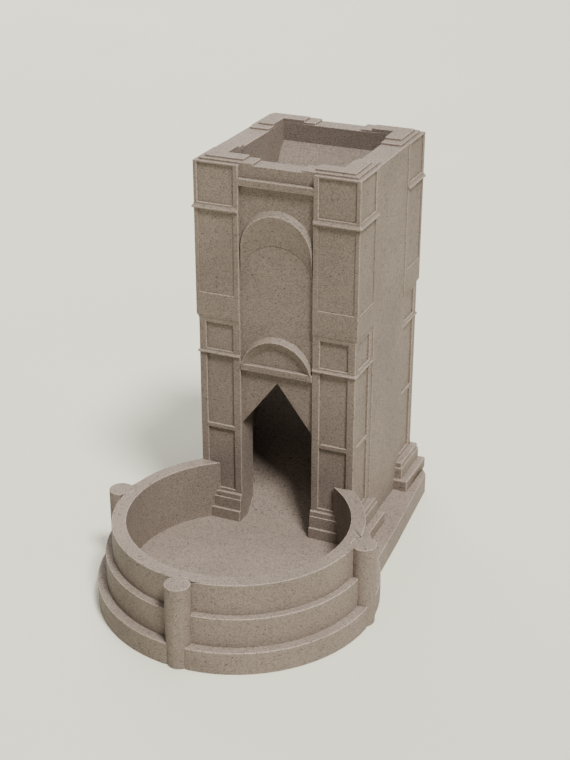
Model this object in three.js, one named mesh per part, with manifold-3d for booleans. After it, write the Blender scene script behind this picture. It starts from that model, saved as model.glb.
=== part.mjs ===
// Dice tower: a hollow square shaft with classical corner pilasters, standing on a base slab
// beside a round catch tray. Dice dropped in at the top bounce off two baffles, run down the exit
// ramp and leave through the pointed door into the tray.
//
// Millimetres, +Z up, door facing -Y. While it is being built, x = 0 is the centre line, y = 0 is
// the front face of the upper pilasters and z = 0 is the table. The whole group is then moved so
// that the origin is the bottom centre of the bounding box.
import * as THREE from 'three';
import { mergeVertices } from 'three/addons/utils/BufferGeometryUtils.js';
import Module from 'manifold-3d';

const wasm = await Module();
wasm.setup();

// Shaft
const HALF_WIDTH = 40;
const DEPTH = 84.3;
const RIM_TOP = 190;
const SIDE_WALL = 12;
const FRONT_WALL = 11;
const DOOR_WALL = { back: 13.5, top: 100 };
const SKIN = 2.5;
const BAY_HALF = 18;
const FRONT_BAY_RECESS = 2;
const SIDE_BAY_RECESS = 0.5;
const SIDE_ARM = 22;
const CHAMBER_HALF = HALF_WIDTH - SIDE_WALL;
const CHAMBER_BACK = DEPTH - FRONT_WALL;

// Base slab
const SLAB_TOP = 11;
const SLAB_FRONT = { half: 55.3, y: -8 };
const SLAB_MIDDLE = { half: 53.4, y: 26 };
const SLAB_BACK_HALF = 49.4;
const SLAB_BACK = DEPTH + 3.5;
const SLAB_CHAMFER = { side: 80, half: 44 };

// Catch tray
const TRAY_CENTRE_Y = -41;
const TRAY_INNER_RADIUS = 50.8;
const TRAY_TIERS = { foot: 65, middle: 60.7, top: 57.4 };
const TRAY_LEDGE = 25.2;
const TRAY_TOP = 39.9;
const POST_RADIUS = 5.7;
const POST_DISTANCE = 60.6;
const POST_GAP = 0.3;
const ROUND_SEGMENTS = 72;
const POST_SEGMENTS = 24;

// Plinths: how far each step stands out from the shaft on each face, and how long its side arm is
const PLINTH_STEPS = [
  { bottom: SLAB_TOP, top: 16.6, side: 6.5, front: 2.6, back: 2.6, arm: 26.5 },
  { bottom: 16.6, top: 22.4, side: 3, front: 1.5, back: 1.5, arm: 24.5 },
  { bottom: 22.4, top: 25, side: 2.4, front: 0.9, back: 0.9, arm: 23.5 },
];
const PLINTH_TOP = 25;

// Lower pilaster order, set back from the upper one
const LOWER_SETBACK = { side: 1, face: 0.5 };
const LOWER_TOP = 114.8;
const STILE = 3.7;
const LOWER_PANEL_DEPTH = 1;
const LOWER_PANEL_TOP = 113;
const LOWER_SILL = { top: 99.7, edge: 98.1, bottom: 97.5, out: 0.7 };
const LOWER_BAR = { top: 60.8, bottom: 58.6 };
const LOWER_PANEL_BOTTOM = 26.4;

// Upper pilaster order
const BELT = { bottom: 116.6, top: 127.8 };
const UPPER_OUTER_STRIP = 2;
const UPPER_INNER_STRIP = 2.5;
const UPPER_PANEL_TOP = 189.2;
const UPPER_PANEL_RECESS = 0.8;
const LONG_PANEL_RECESS = 0.5;
const UPPER_SILL = { top: 171, edge: 168.9, bottom: 168.1, out: 0.8 };

// Front bay
const CORNICE = { bottom: 180.8, top: 184.1 };
const LINTEL = { bottom: 91.6, top: 95, recess: 0.2 };
const DOOR = { spring: 63.3, apex: 87.2 };
const UPPER_ARCH = {
  radius: 18, centre: 153, frontRadius: 17.1, frontCentre: 151.7, lowerRadius: 18,
  lowerCentre: 136.5, lowerStep: 0.2,
};
const LUNETTE = { radius: 18, centre: 92.3, drop: 2, out: 0.3, lowerRadius: 14, lowerCentre: 90 };
const ARCH_SEGMENTS = 28;

// Thickness left where a moulding runs out into the face behind it
const THIN_EDGE = 0.1;

// Rim caps
const CAP_STEPS = [
  { bottom: RIM_TOP, top: RIM_TOP + 1, inset: 2, arm: 28.5 },
  { bottom: RIM_TOP + 1, top: RIM_TOP + 2, inset: 4, arm: 23 },
];

// Inside the shaft
const BAFFLE_THICKNESS = 4;
const UPPER_BAFFLE = { from: { y: CHAMBER_BACK, z: 181 }, to: { y: 47, z: 147 } };
const MIDDLE_BAFFLE = { from: { y: FRONT_WALL, z: 138 }, to: { y: 39, z: 102 } };
const RAMP = { toe: 6.6, top: 83 };

// Vertices closer than this are one vertex
const WELD_DISTANCE = 1e-4;

const FRONT_REACH = TRAY_CENTRE_Y - POST_DISTANCE - POST_RADIUS;

const PLASTIC = { roughness: 0.85, metalness: 0 };
const TONES = { shaft: 0xb3a497, trim: 0xb8a99c, tray: 0xb0a194, inside: 0xa89a8d };

const tower = new THREE.Group();
tower.position.y = -(FRONT_REACH + SLAB_BACK) / 2;

function solid(geometry) {
  const bare = geometry.clone();
  bare.deleteAttribute('normal');
  bare.deleteAttribute('uv');
  const merged = mergeVertices(bare, WELD_DISTANCE);
  return new wasm.Manifold(new wasm.Mesh({
    numProp: 3,
    vertProperties: new Float32Array(merged.attributes.position.array),
    triVerts: new Uint32Array(merged.index.array),
  }));
}

function join(parts) {
  return parts.reduce((whole, part) => whole.add(part));
}

function cut(body, cutters) {
  return cutters.reduce((rest, cutter) => rest.subtract(cutter), body);
}

function add(name, body, tone) {
  const mesh = body.getMesh();
  const geometry = new THREE.BufferGeometry();
  geometry.setAttribute('position', new THREE.BufferAttribute(mesh.vertProperties, 3));
  geometry.setIndex(new THREE.BufferAttribute(mesh.triVerts, 1));
  geometry.computeVertexNormals();
  const material = new THREE.MeshStandardMaterial({ color: TONES[tone], ...PLASTIC });
  const part = new THREE.Mesh(geometry, material);
  part.name = name;
  tower.add(part);
}

// A box whose vertices are moved by place(u, v, w), each running from 0 to 1.
function shapedBox(place, segments = 1) {
  const geometry = new THREE.BoxGeometry(1, 1, 1, segments, 1, 1);
  const position = geometry.attributes.position;
  for (let i = 0; i < position.count; i += 1) {
    const moved = place(position.getX(i) + 0.5, position.getY(i) + 0.5, position.getZ(i) + 0.5);
    position.setXYZ(i, ...moved);
  }
  return solid(geometry);
}

// A block with one rectangle at its foot and another at its top: [x low, x high, y low, y high].
function block(foot, top, zLow, zHigh) {
  return shapedBox((u, v, w) => {
    const rectangle = w > 0.5 ? top : foot;
    return [u > 0.5 ? rectangle[1] : rectangle[0], v > 0.5 ? rectangle[3] : rectangle[2],
      w > 0.5 ? zHigh : zLow];
  });
}

function box(x0, x1, y0, y1, z0, z1) {
  return block([x0, x1, y0, y1], [x0, x1, y0, y1], z0, z1);
}

function outline(points) {
  return new THREE.Shape(points.map(([x, y]) => new THREE.Vector2(x, y)));
}

// Upright prism from [x, y] points.
function uprightPrism(points, z0, z1) {
  const geometry = new THREE.ExtrudeGeometry(outline(points), { depth: z1 - z0, bevelEnabled: false });
  geometry.translate(0, 0, z0);
  return solid(geometry);
}

// Prism along x from [y, z] points.
function crossPrism(points, x0, x1) {
  const geometry = new THREE.ExtrudeGeometry(outline(points), { depth: x1 - x0, bevelEnabled: false });
  geometry.translate(0, 0, x0);
  geometry.applyMatrix4(new THREE.Matrix4().set(0, 0, 1, 0, 1, 0, 0, 0, 0, 1, 0, 0, 0, 0, 0, 1));
  return solid(geometry);
}

// Prism along y from [x, z] points.
function depthPrism(points, y0, y1) {
  const swapped = points.map(([x, z]) => [z, x]);
  const geometry = new THREE.ExtrudeGeometry(outline(swapped), { depth: y1 - y0, bevelEnabled: false });
  geometry.translate(0, 0, y0);
  geometry.applyMatrix4(new THREE.Matrix4().set(0, 1, 0, 0, 0, 0, 1, 0, 1, 0, 0, 0, 0, 0, 0, 1));
  return solid(geometry);
}

function disc(radius, x, y, z0, z1, segments) {
  const geometry = new THREE.CylinderGeometry(radius, radius, z1 - z0, segments);
  geometry.rotateX(Math.PI / 2);
  geometry.translate(x, y, (z0 + z1) / 2);
  return solid(geometry);
}

const POSTS = [
  { name: 'tray_post_left', angle: 180 },
  { name: 'tray_post_front', angle: 270 },
  { name: 'tray_post_right', angle: 0 },
].map(({ name, angle }) => {
  const turn = THREE.MathUtils.degToRad(angle);
  return {
    name,
    x: POST_DISTANCE * Math.cos(turn),
    y: TRAY_CENTRE_Y + POST_DISTANCE * Math.sin(turn),
  };
});

const CORNERS = [
  { name: 'front_left', side: -1, back: false },
  { name: 'front_right', side: 1, back: false },
  { name: 'back_left', side: -1, back: true },
  { name: 'back_right', side: 1, back: true },
];

// Rectangle at a corner, from distances measured inwards from the shaft's two outer faces:
// across from the side face, along from the front or back face.
function cornerRectangle(corner, across, along) {
  const xs = across.map((distance) => corner.side * (HALF_WIDTH - distance)).sort((a, b) => a - b);
  const ys = along.map((distance) => (corner.back ? DEPTH - distance : distance));
  return [...xs, ...ys.sort((a, b) => a - b)];
}

// The two arms of an L around a corner. Each level gives the outer distances of the two faces,
// and inner gives the distances of the two inner faces.
function cornerArms(corner, foot, top, zLow, zHigh, reach, inner = faces(SKIN)) {
  const faceArm = (level) => cornerRectangle(corner, [level.side, reach.across],
    [level.face, inner.face]);
  const sideArm = (level) => cornerRectangle(corner, [level.side, inner.side],
    [level.face, reach.along]);
  return join([
    block(faceArm(foot), faceArm(top), zLow, zHigh),
    block(sideArm(foot), sideArm(top), zLow, zHigh),
  ]);
}

function faces(distance) {
  return { side: distance, face: distance };
}

function buildBase() {
  const side = (sign) => [
    [sign * SLAB_FRONT.half, SLAB_FRONT.y],
    [sign * SLAB_MIDDLE.half, SLAB_MIDDLE.y],
    [sign * SLAB_BACK_HALF, SLAB_CHAMFER.side],
    [sign * SLAB_CHAMFER.half, SLAB_BACK],
  ];
  const plate = uprightPrism([...side(1), ...side(-1).reverse()], 0, SLAB_TOP);
  const foot = disc(TRAY_TIERS.foot, 0, TRAY_CENTRE_Y, 0, SLAB_TOP, ROUND_SEGMENTS);
  add('base_slab', cut(join([plate, foot]), postClearances()), 'tray');
}

function postClearances() {
  return POSTS.map(({ x, y }) => disc(POST_RADIUS + POST_GAP, x, y, -1, TRAY_TOP + 1, POST_SEGMENTS));
}

function trayRing(radius, z0, z1) {
  const outer = disc(radius, 0, TRAY_CENTRE_Y, z0, z1, ROUND_SEGMENTS);
  const bowl = disc(TRAY_INNER_RADIUS, 0, TRAY_CENTRE_Y, z0 - 1, z1 + 1, ROUND_SEGMENTS);
  const half = HALF_WIDTH - LOWER_SETBACK.side;
  const shaft = box(-half, half, LOWER_SETBACK.face, DEPTH, z0 - 1, z1 + 1);
  const steps = CORNERS.slice(0, 2).flatMap((corner) => PLINTH_STEPS
    .filter((step) => step.bottom < z1 && step.top > z0)
    .map((step) => plinthStep(corner, step)));
  return cut(outer, [bowl, shaft, ...steps, ...postClearances()]);
}

function buildTray() {
  add('tray_wall_lower', trayRing(TRAY_TIERS.middle, SLAB_TOP, TRAY_LEDGE), 'tray');
  add('tray_wall_upper', trayRing(TRAY_TIERS.top, TRAY_LEDGE, TRAY_TOP), 'tray');
  for (const { name, x, y } of POSTS) {
    add(name, disc(POST_RADIUS, x, y, 0, TRAY_TOP, POST_SEGMENTS), 'tray');
  }
}

function plinthStep(corner, step) {
  const level = { side: -step.side, face: corner.back ? -step.back : -step.front };
  const reach = { across: HALF_WIDTH - BAY_HALF, along: step.arm };
  return cornerArms(corner, level, level, step.bottom, step.top, reach);
}

function buildPlinths() {
  for (const corner of CORNERS) {
    const steps = PLINTH_STEPS.map((step) => plinthStep(corner, step));
    add(`plinth_${corner.name}`, cut(join(steps), [sideBay(corner.side)]), 'trim');
  }
}

// The plain middle stretch of a side wall, which stands further out than the wall behind the
// pilasters.
function sideBay(sign) {
  const [x0, x1] = [sign * CHAMBER_HALF, sign * (HALF_WIDTH - SIDE_BAY_RECESS)].sort((a, b) => a - b);
  return bayWall(x0, x1, SIDE_ARM, DEPTH - SIDE_ARM);
}

function bayWall(x0, x1, y0, y1) {
  return box(x0, x1, y0, y1, SLAB_TOP, RIM_TOP);
}

function buildWalls() {
  const structure = HALF_WIDTH - SKIN;
  const doorway = depthPrism([
    [-BAY_HALF, SLAB_TOP - 1],
    [BAY_HALF, SLAB_TOP - 1],
    [BAY_HALF, DOOR.spring],
    [0, DOOR.apex],
    [-BAY_HALF, DOOR.spring],
  ], -1, DOOR_WALL.back + 1);
  const front = join([
    bayWall(-structure, structure, SKIN, FRONT_WALL),
    bayWall(-BAY_HALF, BAY_HALF, FRONT_BAY_RECESS, FRONT_WALL),
    box(-CHAMBER_HALF, CHAMBER_HALF, FRONT_WALL, DOOR_WALL.back, SLAB_TOP, DOOR_WALL.top),
  ]);
  add('front_wall', cut(front, [doorway]), 'shaft');
  add('back_wall', join([
    bayWall(-structure, structure, CHAMBER_BACK, DEPTH - SKIN),
    bayWall(-BAY_HALF, BAY_HALF, CHAMBER_BACK, DEPTH - FRONT_BAY_RECESS),
  ]), 'shaft');
  for (const [name, sign] of [['left_wall', -1], ['right_wall', 1]]) {
    const [x0, x1] = [sign * CHAMBER_HALF, sign * structure].sort((a, b) => a - b);
    add(name, join([bayWall(x0, x1, FRONT_WALL, CHAMBER_BACK), sideBay(sign)]), 'shaft');
  }
}

// Recess cut into both faces of a corner pilaster, between its outer and inner strips. The recess
// is measured from the shaft's outer faces.
function cornerPanel(corner, recess, strips, z0, z1) {
  const reach = 1;
  const across = [strips.outer, HALF_WIDTH - BAY_HALF - strips.inner];
  const along = [strips.outer, SIDE_ARM - strips.inner];
  return [
    block(...twice(cornerRectangle(corner, across, [-reach, recess.face])), z0, z1),
    block(...twice(cornerRectangle(corner, [-reach, recess.side], along)), z0, z1),
  ];
}

function twice(rectangle) {
  return [rectangle, rectangle];
}

// A moulding with a sloping top that rises from the recessed face to a sharp projecting edge.
function slopedSill(corner, sill, edge, root) {
  return join([
    cornerArms(corner, edge, root, sill.edge, sill.top, PILASTER_REACH),
    cornerArms(corner, edge, edge, sill.bottom, sill.edge, PILASTER_REACH),
  ]);
}

function standingOut(level, distance) {
  return { side: level.side - distance, face: level.face - distance };
}

const PILASTER_REACH = { across: HALF_WIDTH - BAY_HALF, along: SIDE_ARM };

function buildUpperPilasters() {
  const strips = { outer: UPPER_OUTER_STRIP, inner: UPPER_INNER_STRIP };
  for (const corner of CORNERS) {
    const shaft = cornerArms(corner, faces(0), faces(0), BELT.bottom, RIM_TOP, PILASTER_REACH);
    const chamfer = cornerArms(corner, LOWER_SETBACK, faces(0), LOWER_TOP, BELT.bottom,
      PILASTER_REACH);
    const panels = [
      ...cornerPanel(corner, faces(UPPER_PANEL_RECESS), strips, UPPER_SILL.top, UPPER_PANEL_TOP),
      ...cornerPanel(corner, faces(LONG_PANEL_RECESS), strips, BELT.top, UPPER_SILL.bottom),
    ];
    const sill = slopedSill(corner, UPPER_SILL, standingOut(faces(0), UPPER_SILL.out),
      faces(UPPER_PANEL_RECESS));
    add(`upper_pilaster_${corner.name}`, join([cut(join([shaft, chamfer]), panels), sill]), 'trim');
  }
}

function buildLowerPilasters() {
  const strips = { outer: LOWER_SETBACK.side + STILE, inner: STILE };
  const sillEdge = standingOut(LOWER_SETBACK, LOWER_SILL.out);
  const recess = standingOut(LOWER_SETBACK, -LOWER_PANEL_DEPTH);
  for (const corner of CORNERS) {
    const openings = [
      [LOWER_SILL.top, LOWER_PANEL_TOP],
      [LOWER_BAR.top, LOWER_SILL.bottom],
      [LOWER_PANEL_BOTTOM, LOWER_BAR.bottom],
    ];
    const panels = openings.flatMap(([z0, z1]) => cornerPanel(corner, recess, strips, z0, z1));
    const frame = cut(cornerArms(corner, LOWER_SETBACK, LOWER_SETBACK, PLINTH_TOP, LOWER_TOP,
      PILASTER_REACH), panels);
    const sill = slopedSill(corner, LOWER_SILL, sillEdge, recess);
    add(`lower_pilaster_${corner.name}`, join([frame, sill]), 'trim');
  }
}

// Arched moulding on the front bay. Its section at each angle runs from the upper arc on the bay
// face, forward and down to the front edge, and back to the lower arc.
function archHood({ upper, front, lower, frontFace, lowerFace }) {
  const back = FRONT_BAY_RECESS;
  return shapedBox((u, v, w) => {
    const angle = Math.PI * (1 - u);
    const high = w > 0.5;
    const atBack = v > 0.5;
    const arc = high ? (atBack ? upper : front) : lower;
    const y = atBack ? back : (high ? frontFace : lowerFace);
    return [arc.radius * Math.cos(angle), y, arc.centre + arc.radius * Math.sin(angle)];
  }, ARCH_SEGMENTS);
}

function buildFrontBay() {
  const back = FRONT_BAY_RECESS;
  add('cornice_bar', box(-BAY_HALF, BAY_HALF, 0, back, CORNICE.bottom, CORNICE.top), 'trim');
  add('lintel_bar', box(-BAY_HALF, BAY_HALF, LINTEL.recess, back, LINTEL.bottom, LINTEL.top), 'trim');
  add('upper_arch_hood', archHood({
    upper: { radius: UPPER_ARCH.radius, centre: UPPER_ARCH.centre },
    front: { radius: UPPER_ARCH.frontRadius, centre: UPPER_ARCH.frontCentre },
    lower: { radius: UPPER_ARCH.lowerRadius, centre: UPPER_ARCH.lowerCentre },
    frontFace: 0,
    lowerFace: back - UPPER_ARCH.lowerStep,
  }), 'trim');
  const lunette = archHood({
    upper: { radius: LUNETTE.radius, centre: LUNETTE.centre },
    front: { radius: LUNETTE.radius, centre: LUNETTE.centre - LUNETTE.drop },
    lower: { radius: LUNETTE.lowerRadius, centre: LUNETTE.lowerCentre },
    frontFace: -LUNETTE.out,
    lowerFace: back - THIN_EDGE,
  });
  const above = box(-BAY_HALF, BAY_HALF, -LUNETTE.radius, back, LINTEL.top,
    LUNETTE.centre + 2 * LUNETTE.radius);
  add('lunette_hood', lunette.intersect(above), 'trim');
}

function buildCaps() {
  for (const corner of CORNERS) {
    const steps = CAP_STEPS.map(({ bottom, top, inset, arm }) => cornerArms(corner, faces(inset),
      faces(inset), bottom, top, { across: arm, along: arm }, { side: SIDE_WALL, face: FRONT_WALL }));
    add(`rim_cap_${corner.name}`, join(steps), 'trim');
  }
}

// A slab leaning across the chamber, with its upper face through two [y, z] points.
function leaningSlab(name, from, to) {
  const wallSide = Math.sign(to.y - from.y);
  const run = Math.abs(to.y - from.y);
  const drop = from.z - to.z;
  const slope = Math.hypot(run, drop);
  const below = BAFFLE_THICKNESS * slope / run;
  const tip = BAFFLE_THICKNESS * drop / slope;
  const dip = BAFFLE_THICKNESS * run / slope;
  const points = [
    [from.y, from.z],
    [to.y, to.z],
    [to.y - wallSide * tip, to.z - dip],
    [from.y, from.z - below],
  ];
  add(name, crossPrism(points, -CHAMBER_HALF, CHAMBER_HALF), 'inside');
}

function buildInside() {
  leaningSlab('upper_baffle', UPPER_BAFFLE.from, UPPER_BAFFLE.to);
  leaningSlab('middle_baffle', MIDDLE_BAFFLE.from, MIDDLE_BAFFLE.to);
  const wedge = [[RAMP.toe, SLAB_TOP], [CHAMBER_BACK, SLAB_TOP], [CHAMBER_BACK, RAMP.top]];
  const ramp = crossPrism(wedge, -CHAMBER_HALF, CHAMBER_HALF);
  const piers = [-1, 1].map((sign) => {
    const [x0, x1] = [sign * BAY_HALF, sign * HALF_WIDTH].sort((a, b) => a - b);
    return box(x0, x1, 0, DOOR_WALL.back, 0, RIM_TOP);
  });
  add('exit_ramp', cut(ramp, piers), 'inside');
}

buildBase();
buildTray();
buildPlinths();
buildWalls();
buildLowerPilasters();
buildUpperPilasters();
buildFrontBay();
buildCaps();
buildInside();

export default tower;
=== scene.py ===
"""Dice tower printed in speckled, stone-coloured plastic.

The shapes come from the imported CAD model. Each node gets a finished copy, with its exposed outer
edges slightly rounded, as printed edges are, and a procedural plastic with flecks and layer lines.
Lengths are metres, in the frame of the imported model: +Z up, the door and the tray facing -Y.
"""

import math

import bmesh
import bpy
from mathutils import Matrix, Vector
from mathutils.bvhtree import BVHTree


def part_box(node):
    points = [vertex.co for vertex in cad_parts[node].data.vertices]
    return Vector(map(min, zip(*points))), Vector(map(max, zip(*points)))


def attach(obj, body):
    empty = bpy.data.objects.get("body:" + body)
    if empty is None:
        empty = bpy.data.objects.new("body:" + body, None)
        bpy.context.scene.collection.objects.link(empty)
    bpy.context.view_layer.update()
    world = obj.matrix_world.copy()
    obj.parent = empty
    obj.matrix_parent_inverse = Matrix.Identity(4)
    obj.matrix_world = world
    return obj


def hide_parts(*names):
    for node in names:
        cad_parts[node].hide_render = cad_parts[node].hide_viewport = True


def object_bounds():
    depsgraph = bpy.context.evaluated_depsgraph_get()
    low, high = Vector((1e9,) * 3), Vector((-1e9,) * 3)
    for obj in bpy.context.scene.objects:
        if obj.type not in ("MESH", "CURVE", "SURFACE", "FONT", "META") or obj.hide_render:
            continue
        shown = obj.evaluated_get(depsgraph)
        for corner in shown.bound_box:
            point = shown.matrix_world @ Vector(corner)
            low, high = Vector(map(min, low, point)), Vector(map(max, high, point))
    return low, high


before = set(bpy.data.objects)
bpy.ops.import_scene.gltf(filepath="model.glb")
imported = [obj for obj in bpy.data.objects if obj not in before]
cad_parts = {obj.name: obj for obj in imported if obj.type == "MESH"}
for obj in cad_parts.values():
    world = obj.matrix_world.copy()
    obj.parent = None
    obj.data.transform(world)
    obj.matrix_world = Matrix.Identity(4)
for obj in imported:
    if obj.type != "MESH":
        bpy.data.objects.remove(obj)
cad_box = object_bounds()

MM = 0.001

# Edge finish: a rounding takes at most EDGE_SHARE of the room beside its edge. Corners further than
# NEARBY past the ends of an edge don't take room from it.
EDGE_ROUNDING = 0.35 * MM
EDGE_SHARE = 0.4
EDGE_SEGMENTS = 3
CREASE = math.radians(32)
COPLANAR = math.radians(0.5)
WELD = 0.001 * MM
CONTACT = 0.01 * MM
NEARBY = 3.0 * MM

# Search for the places where an edge meets a neighbour: steps along it, then halvings
SAMPLE_STEP = 1.0 * MM
HALVINGS = 8

# Tray posts: the notches cut for them are drawn in until they meet the posts
POSTS = ("tray_post_left", "tray_post_front", "tray_post_right")
NOTCHED = ("base_slab", "tray_wall_lower", "tray_wall_upper")
NOTCH_REACH = 0.6 * MM
NOTCH_OVERLAP = 0.15 * MM

# Plastic: the colours
BASE_COLOUR = (0.152, 0.120, 0.099, 1.0)
PALE_COLOUR = (0.250, 0.199, 0.165, 1.0)
FLECK_COLOUR = (0.058, 0.048, 0.042, 1.0)
# The rounded edges are made paler: partly a painted highlight, partly the lighter plastic of worn
# edges.
EDGE_HIGHLIGHT_TONE = 1.45
PLASTIC_SPECULAR = 0.38

# Plastic: noises as scale per metre, detail and roughness, each with the values between which it acts
DRIFT = (28.0, 3.0, 0.5)
DRIFT_RANGE = (0.35, 0.65)
DRIFT_SHARE = 0.35
GRAIN = (1300.0, 3.0, 0.65)
GRAIN_RANGE = (0.36, 0.64)
GRAIN_SHARE = 0.65
FLECK_STRETCH = (1.0, 1.0, 1.7)
FINE_FLECKS = (1250.0, 1.0, 0.5)
FINE_FLECK_RANGE = (0.53, 0.64)
FINE_FLECK_STRENGTH = 0.5
COARSE_FLECKS = (700.0, 2.0, 0.6)
COARSE_FLECK_RANGE = (0.62, 0.71)
GLOSS = (320.0, 3.0, 0.5)
GLOSS_RANGE = (0.3, 0.7)
ROUGHNESS_RANGE = (0.62, 0.80)

# Plastic: printed lines, as shares of the relief. UNEVEN is a noise drawn out along the layers.
LAYER_HEIGHT = 0.2 * MM
LINE_WIDTH = 0.45 * MM
LAYER_WAVE = 0.10
LINE_WAVE = 0.30
GRAIN_RELIEF = 0.35
UNEVEN_STRETCH = (14.0, 14.0, 1400.0)
UNEVEN = (1.0, 2.0, 0.5)
LEVEL_RANGE = (0.80, 0.95)
RELIEF_STRENGTH = 0.55
RELIEF_DEPTH = 0.06 * MM

# Sockets of a Mix node that mixes colours: factor, first and second colour, result
MIX_FACTOR = 0
MIX_FIRST = 6
MIX_SECOND = 7
MIX_RESULT = 2

# Camera: its place, the direction from the tower towards it, and the lens in millimetres
CAMERA_PLACE = Vector((0.246747, -0.544668, 0.377938))
CAMERA_AZIMUTH = math.radians(23.524)
CAMERA_ELEVATION = math.radians(25.385)
CAMERA_ROLL = math.radians(0.08)
CAMERA_LENS = 69.01
CAMERA_SHIFT = (-0.0015, -0.0003)

# Room
FLOOR_HALF = 60.0
FLOOR_COLOUR = (0.66, 0.66, 0.555, 1.0)
FLOOR_CLOUDS = (6.0, 2.0, 0.5)
FLOOR_CLOUD_RANGE = (0.3, 0.7)
FLOOR_CLOUD_TONE = 0.97
FLOOR_ROUGHNESS = 0.6
FLOOR_SPECULAR = 0.25
SKY_COLOUR = (1.0, 0.985, 0.94, 1.0)
SKY_STRENGTH = 0.18

# Light: directions are azimuth from the front towards +X, then elevation, in degrees. A fill is a
# name, a direction and its watts.
LIGHT_COLOUR = (1.0, 0.985, 0.935)
KEY_STRENGTH = 5.5
KEY_ANGLE = math.radians(13.0)
KEY_DIRECTION = (54, 58)
FILL_DISTANCE = 2.2
FILL_SIZE = 1.5
FILLS = (
    ("side_light", 112, 35, 3),
    ("top_light", 90, 84, 34),
    ("back_light", 215, 30, 26),
)


# ---------------------------------------------------------------- shapes


def welded(node):
    """The node's mesh with its split vertices joined and its flat faces merged into convex ones."""
    bm = bmesh.new()
    bm.from_mesh(node.data)
    bmesh.ops.remove_doubles(bm, verts=bm.verts, dist=WELD)
    bmesh.ops.dissolve_limit(bm, angle_limit=COPLANAR, verts=bm.verts, edges=bm.edges)
    bmesh.ops.connect_verts_concave(bm, faces=bm.faces)
    bm.normal_update()
    return bm


def surface_tree(node):
    """A tree for finding the nearest point of the node's surface."""
    bm = bmesh.new()
    bm.from_mesh(node.data)
    tree = BVHTree.FromBMesh(bm)
    bm.free()
    return tree


def boxes_meet(first, second):
    """Whether two boxes touch or overlap. A box is its lowest and highest corners."""
    (low_a, high_a), (low_b, high_b) = first, second
    return all(
        low_a[i] <= high_b[i] + CONTACT and low_b[i] <= high_a[i] + CONTACT for i in range(3)
    )


def touches(point, trees):
    """Whether the point lies on one of the surfaces."""
    return any(tree.find_nearest(point, CONTACT)[0] is not None for tree in trees)


def contact_changes(start, end, trees):
    """Fractions of an edge at which it begins or stops touching a neighbouring piece."""
    count = max(2, math.ceil((end - start).length / SAMPLE_STEP))
    places = [(i + 0.5) / count for i in range(count)]
    states = [touches(start.lerp(end, place), trees) for place in places]
    changes = []
    for i in range(count - 1):
        if states[i] == states[i + 1]:
            continue
        low, high = places[i], places[i + 1]
        for _ in range(HALVINGS):
            middle = (low + high) / 2
            if touches(start.lerp(end, middle), trees) == states[i]:
                low = middle
            else:
                high = middle
        changes.append((low + high) / 2)
    return changes


def split_at(edge, fractions):
    """Adds a vertex to the edge at each fraction of its length."""
    first = edge.verts[0]
    covered = 1.0
    for fraction in sorted(fractions, reverse=True):
        _, vertex = bmesh.utils.edge_split(edge, first, fraction / covered)
        edge = next(e for e in vertex.link_edges if first in e.verts)
        covered = fraction


def is_crease(edge):
    """Whether the surface turns sharply at the edge."""
    return len(edge.link_faces) == 2 and edge.calc_face_angle(0.0) > CREASE


def room_beside(edge):
    """Distance from the edge to the nearest other corner of its two faces, or what a full rounding
    needs if that is less. Corners further along the same gently turning outline don't count."""
    start = edge.verts[0].co
    along = edge.verts[1].co - start
    length = along.length
    along.normalize()
    room = EDGE_ROUNDING / EDGE_SHARE
    for face in edge.link_faces:
        for vertex in face.verts:
            offset = vertex.co - start
            place = offset.dot(along)
            beyond = max(-place, place - length, 0.0)
            distance = (offset - place * along).length
            if beyond < NEARBY and distance > max(CONTACT, beyond * math.tan(CREASE)):
                room = min(room, distance)
    return room


def close_notches(bm, post_axes, post_radius):
    """Draws the notch walls in to the posts, so that no gap shows round them."""
    reach = post_radius + NOTCH_REACH
    for vertex in bm.verts:
        for axis in post_axes:
            offset = Vector((vertex.co.x - axis.x, vertex.co.y - axis.y))
            if offset.length < reach:
                offset *= (post_radius - NOTCH_OVERLAP) / offset.length
                vertex.co.x = axis.x + offset.x
                vertex.co.y = axis.y + offset.y


def shade_by_angle(mesh):
    """Smooth shading everywhere but across creases. Faces with more than four corners are cut into
    triangles."""
    bm = bmesh.new()
    bm.from_mesh(mesh)
    bmesh.ops.remove_doubles(bm, verts=bm.verts, dist=WELD)
    many_sided = [face for face in bm.faces if len(face.verts) > 4]
    bmesh.ops.triangulate(bm, faces=many_sided)
    bm.normal_update()
    for edge in bm.edges:
        edge.smooth = not is_crease(edge)
    for face in bm.faces:
        face.smooth = True
    bm.to_mesh(mesh)
    bm.free()


def weigh_edges(bm, trees):
    """Gives the exposed outer edges a bevel weight: how much of a full rounding there is room for."""
    weights = bm.edges.layers.float.new("bevel_weight_edge")
    outer = [edge for edge in bm.edges if is_crease(edge) and edge.is_convex]
    changes = []
    for edge in outer:
        edge[weights] = EDGE_SHARE * room_beside(edge) / EDGE_ROUNDING
        start, end = (vertex.co.copy() for vertex in edge.verts)
        changes.append((edge, contact_changes(start, end, trees)))
    for edge, fractions in changes:
        split_at(edge, fractions)
    for edge in bm.edges:
        middle = (edge.verts[0].co + edge.verts[1].co) / 2
        if edge[weights] > 0 and touches(middle, trees):
            edge[weights] = 0.0


def round_edges(piece):
    """Replaces the piece's mesh with one whose weighted edges are rounded. Their roundings take the
    piece's second material, whose paler colour is partly a painted highlight and partly the lighter
    plastic of worn edges."""
    blank = piece.data
    rounding = piece.modifiers.new("rounded_edges", "BEVEL")
    rounding.width = EDGE_ROUNDING
    rounding.segments = EDGE_SEGMENTS
    rounding.limit_method = "WEIGHT"
    rounding.use_clamp_overlap = False
    # The roundings take the paler material, partly a painted highlight.
    rounding.material = 1
    graph = bpy.context.evaluated_depsgraph_get()
    rounded = bpy.data.meshes.new_from_object(piece.evaluated_get(graph))
    piece.modifiers.clear()
    rounded.name = piece.name
    shade_by_angle(rounded)
    piece.data = rounded
    bpy.data.meshes.remove(blank)


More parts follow.
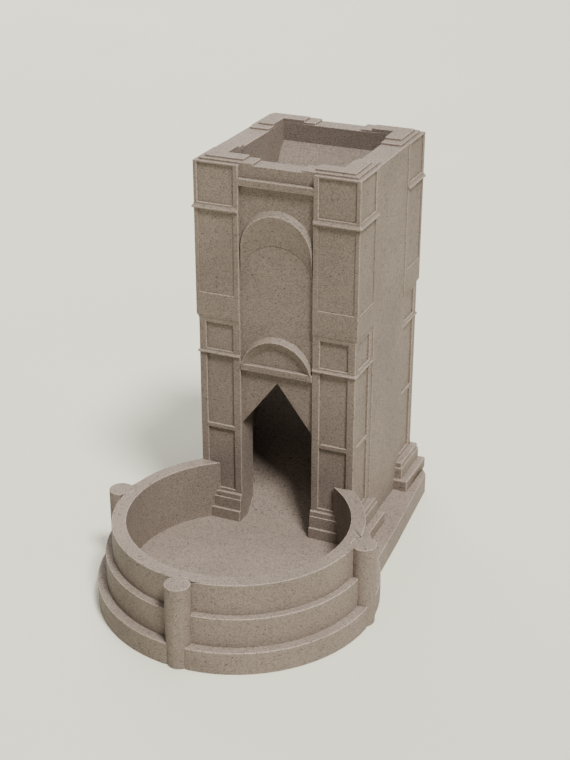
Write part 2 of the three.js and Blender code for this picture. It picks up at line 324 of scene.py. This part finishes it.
def finished_copy(name, node, trees, materials, post_axes, post_radius):
    """A copy of the node with its exposed outer edges rounded. The second material is for the
    rounded edges; it is paler, partly as a painted highlight and partly as the lighter plastic of
    worn edges."""
    bm = welded(node)
    weigh_edges(bm, trees)
    if name in NOTCHED:
        close_notches(bm, post_axes, post_radius)
    mesh = bpy.data.meshes.new(name + "_blank")
    bm.to_mesh(mesh)
    bm.free()
    for material in materials:
        mesh.materials.append(material)
    piece = bpy.data.objects.new(name + "_finish", mesh)
    bpy.context.scene.collection.objects.link(piece)
    round_edges(piece)
    shading = piece.modifiers.new("flat_faces_stay_flat", "WEIGHTED_NORMAL")
    shading.keep_sharp = True
    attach(piece, "root")
    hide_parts(name)


# ---------------------------------------------------------------- material


class NodeTree:
    """Short calls for building a material's nodes. A value is a number, a vector, a colour or
    another node's output."""

    def __init__(self, material):
        material.use_nodes = True
        self.tree = material.node_tree
        self.shader = self.tree.nodes["Principled BSDF"]

    def add(self, kind, values=None, **settings):
        node = self.tree.nodes.new(kind)
        for key, value in settings.items():
            setattr(node, key, value)
        for key, value in (values or {}).items():
            if isinstance(value, bpy.types.NodeSocket):
                self.tree.links.new(value, node.inputs[key])
            else:
                node.inputs[key].default_value = value
        return node

    def math(self, operation, first, second=0.0):
        return self.add("ShaderNodeMath", {0: first, 1: second}, operation=operation).outputs[0]

    def noise(self, vector, scale, detail, roughness):
        values = {"Vector": vector, "Scale": scale, "Detail": detail, "Roughness": roughness}
        return self.add("ShaderNodeTexNoise", values).outputs["Fac"]

    def remap(self, value, source, target=(0.0, 1.0)):
        """The value moved from the source range to the target range, and held inside it."""
        values = {"Value": value, "From Min": source[0], "From Max": source[1]}
        values.update({"To Min": target[0], "To Max": target[1]})
        return self.add("ShaderNodeMapRange", values).outputs["Result"]

    def mix(self, factor, first, second):
        values = {MIX_FACTOR: factor, MIX_FIRST: first, MIX_SECOND: second}
        return self.add("ShaderNodeMix", values, data_type="RGBA").outputs[MIX_RESULT]

    def stretched(self, vector, scale):
        return self.add("ShaderNodeMapping", {"Vector": vector, "Scale": scale}).outputs[0]

    def component(self, vector, letter):
        return self.add("ShaderNodeSeparateXYZ", {0: vector}).outputs[letter]

    def wave(self, distance, length, size):
        """A sine wave along the distance, with the given wavelength and size."""
        turns = self.math("MULTIPLY", distance, math.tau / length)
        return self.math("MULTIPLY", self.math("SINE", turns), size)

    def link(self, output, name):
        self.tree.links.new(output, self.shader.inputs[name])


def toned(colour, tone):
    """The colour made lighter or darker by the tone."""
    return tuple(channel * tone for channel in colour[:3]) + (1.0,)


def speckled_colour(nodes, place, grain, tone):
    """A body whose tone drifts slowly and is finely grained, with dark flecks at two sizes."""
    drift = nodes.remap(nodes.noise(place, *DRIFT), DRIFT_RANGE)
    body_tone = nodes.math("ADD", nodes.math("MULTIPLY", drift, DRIFT_SHARE),
                           nodes.math("MULTIPLY", grain, GRAIN_SHARE))
    body = nodes.mix(body_tone, toned(BASE_COLOUR, tone), toned(PALE_COLOUR, tone))
    flattened = nodes.stretched(place, FLECK_STRETCH)
    fine = nodes.remap(nodes.noise(flattened, *FINE_FLECKS), FINE_FLECK_RANGE)
    coarse = nodes.remap(nodes.noise(flattened, *COARSE_FLECKS), COARSE_FLECK_RANGE)
    flecks = nodes.math("MAXIMUM", nodes.math("MULTIPLY", fine, FINE_FLECK_STRENGTH), coarse)
    return nodes.mix(flecks, body, toned(FLECK_COLOUR, tone))


def printed_relief(nodes, place, grain, line_source):
    """Layers on upright faces, and the extruded lines on level ones."""
    normal = nodes.add("ShaderNodeNewGeometry").outputs["Normal"]
    upward = nodes.component(normal, "Z")
    level = nodes.remap(nodes.math("ABSOLUTE", upward), LEVEL_RANGE)
    uneven = nodes.noise(nodes.stretched(place, UNEVEN_STRETCH), *UNEVEN)
    layer_wave = nodes.wave(nodes.component(place, "Z"), LAYER_HEIGHT, LAYER_WAVE)
    layers = nodes.math("ADD", layer_wave, uneven)
    lines = nodes.wave(line_source(nodes, place), LINE_WIDTH, LINE_WAVE)
    relief = nodes.math("ADD", nodes.math("MULTIPLY", lines, level),
                        nodes.math("MULTIPLY", layers, nodes.math("SUBTRACT", 1.0, level)))
    return nodes.math("ADD", relief, nodes.math("MULTIPLY", grain, GRAIN_RELIEF))


def filament_material(name, line_source, tone=1.0):
    """Matte plastic with mineral flecks. line_source(nodes, place) gives the distance across the
    extruded lines on level faces."""
    material = bpy.data.materials.new(name)
    nodes = NodeTree(material)
    place = nodes.add("ShaderNodeTexCoord").outputs["Object"]
    grain = nodes.remap(nodes.noise(place, *GRAIN), GRAIN_RANGE)
    nodes.link(speckled_colour(nodes, place, grain, tone), "Base Color")
    relief = printed_relief(nodes, place, grain, line_source)
    values = {"Strength": RELIEF_STRENGTH, "Distance": RELIEF_DEPTH, "Height": relief}
    nodes.link(nodes.add("ShaderNodeBump", values).outputs["Normal"], "Normal")
    nodes.link(nodes.remap(nodes.noise(place, *GLOSS), GLOSS_RANGE, ROUGHNESS_RANGE), "Roughness")
    nodes.shader.inputs["Specular IOR Level"].default_value = PLASTIC_SPECULAR
    return material


def filament_pair(name, line_source):
    """The plastic for a piece's faces, and a paler one for its rounded edges: partly a painted
    highlight, partly the lighter plastic of worn edges.
    """
    return (
        filament_material(f"filament_{name}_lines", line_source),
        filament_material(f"filament_{name}_edges", line_source, EDGE_HIGHLIGHT_TONE),
    )


def straight_lines(nodes, place):
    """Distance across lines laid at 45 degrees."""
    parts = nodes.add("ShaderNodeSeparateXYZ", {0: place})
    total = nodes.math("ADD", parts.outputs["X"], parts.outputs["Y"])
    return nodes.math("MULTIPLY", total, math.sqrt(0.5))


def rings_around(centre):
    """Distance from an upright axis through the centre, for lines laid in rings."""

    def ring_lines(nodes, place):
        offset = nodes.add("ShaderNodeVectorMath", {0: place, 1: centre}, operation="SUBTRACT")
        flat = nodes.stretched(offset.outputs[0], (1.0, 1.0, 0.0))
        return nodes.add("ShaderNodeVectorMath", {0: flat}, operation="LENGTH").outputs["Value"]

    return ring_lines


# ---------------------------------------------------------------- room


def floor_material():
    """A pale matte table top, very slightly clouded."""
    material = bpy.data.materials.new("pale_table")
    nodes = NodeTree(material)
    place = nodes.add("ShaderNodeTexCoord").outputs["Object"]
    cloud = nodes.remap(nodes.noise(place, *FLOOR_CLOUDS), FLOOR_CLOUD_RANGE)
    colour = nodes.mix(cloud, toned(FLOOR_COLOUR, FLOOR_CLOUD_TONE), FLOOR_COLOUR)
    nodes.link(colour, "Base Color")
    nodes.shader.inputs["Roughness"].default_value = FLOOR_ROUGHNESS
    nodes.shader.inputs["Specular IOR Level"].default_value = FLOOR_SPECULAR
    return material


def add_floor():
    """The surface that the tower stands on, at height 0."""
    corners = [(-1, -1), (1, -1), (1, 1), (-1, 1)]
    mesh = bpy.data.meshes.new("floor")
    mesh.from_pydata([(x * FLOOR_HALF, y * FLOOR_HALF, 0) for x, y in corners], [], [(0, 1, 2, 3)])
    floor = bpy.data.objects.new("floor", mesh)
    bpy.context.scene.collection.objects.link(floor)
    mesh.materials.append(floor_material())


def direction(azimuth, elevation):
    """Unit vector towards a viewpoint. Azimuth turns from the front towards +X."""
    return Vector((
        math.sin(azimuth) * math.cos(elevation),
        -math.cos(azimuth) * math.cos(elevation),
        math.sin(elevation),
    ))


def add_light(data, azimuth, elevation, distance, target):
    """Places the light at a distance from the target, in the given direction, and aims it there."""
    towards = direction(math.radians(azimuth), math.radians(elevation))
    data.color = LIGHT_COLOUR
    light = bpy.data.objects.new(data.name, data)
    light.location = target + towards * distance
    light.rotation_euler = towards.to_track_quat("Z", "Y").to_euler()
    bpy.context.scene.collection.objects.link(light)


def add_camera():
    """The camera stands in front, to the right and above, and looks down at the tower."""
    back = direction(CAMERA_AZIMUTH, CAMERA_ELEVATION)
    right = Vector((math.cos(CAMERA_AZIMUTH), math.sin(CAMERA_AZIMUTH), 0.0))
    up = back.cross(right)
    rolled_right = math.cos(CAMERA_ROLL) * right + math.sin(CAMERA_ROLL) * up
    rolled_up = math.cos(CAMERA_ROLL) * up - math.sin(CAMERA_ROLL) * right
    data = bpy.data.cameras.new("camera")
    data.lens = CAMERA_LENS
    data.shift_x, data.shift_y = CAMERA_SHIFT
    camera = bpy.data.objects.new("camera", data)
    pose = Matrix((rolled_right, rolled_up, back)).transposed().to_4x4()
    pose.translation = CAMERA_PLACE
    camera.matrix_world = pose
    bpy.context.scene.collection.objects.link(camera)
    bpy.context.scene.camera = camera


def light_room(target):
    """A dim even sky, a broad key light and three soft fills."""
    world = bpy.data.worlds.new("room")
    world.use_nodes = True
    background = world.node_tree.nodes["Background"]
    background.inputs["Color"].default_value = SKY_COLOUR
    background.inputs["Strength"].default_value = SKY_STRENGTH
    bpy.context.scene.world = world
    key = bpy.data.lights.new("key_light", "SUN")
    key.energy = KEY_STRENGTH
    key.angle = KEY_ANGLE
    add_light(key, *KEY_DIRECTION, FILL_DISTANCE, target)
    for name, azimuth, elevation, watts in FILLS:
        fill = bpy.data.lights.new(name, "AREA")
        fill.size = FILL_SIZE
        fill.energy = watts
        add_light(fill, azimuth, elevation, FILL_DISTANCE, target)


# ---------------------------------------------------------------- scene

node_boxes = {name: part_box(name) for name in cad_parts}
node_trees = {name: surface_tree(node) for name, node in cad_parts.items()}

post_boxes = [node_boxes[name] for name in POSTS]
post_axes = [(low + high) / 2 for low, high in post_boxes]
post_low, post_high = post_boxes[0]
post_radius = (post_high.x - post_low.x) / 2

# The side posts stand level with the tray's centre.
left_axis, _, right_axis = post_axes
tray_centre = Vector(((left_axis.x + right_axis.x) / 2, left_axis.y, 0.0))
straight_finish = filament_pair("straight", straight_lines)
ringed_finish = filament_pair("ring", rings_around(tray_centre))

for node_name, cad_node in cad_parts.items():
    neighbours = [
        node_trees[other] for other in node_trees
        if other != node_name and boxes_meet(node_boxes[node_name], node_boxes[other])
    ]
    finish = ringed_finish if node_name.startswith("tray_wall") else straight_finish
    finished_copy(node_name, cad_node, neighbours, finish, post_axes, post_radius)

low_corner, high_corner = (Vector(corner) for corner in cad_box)
add_floor()
light_room((low_corner + high_corner) / 2)
add_camera()
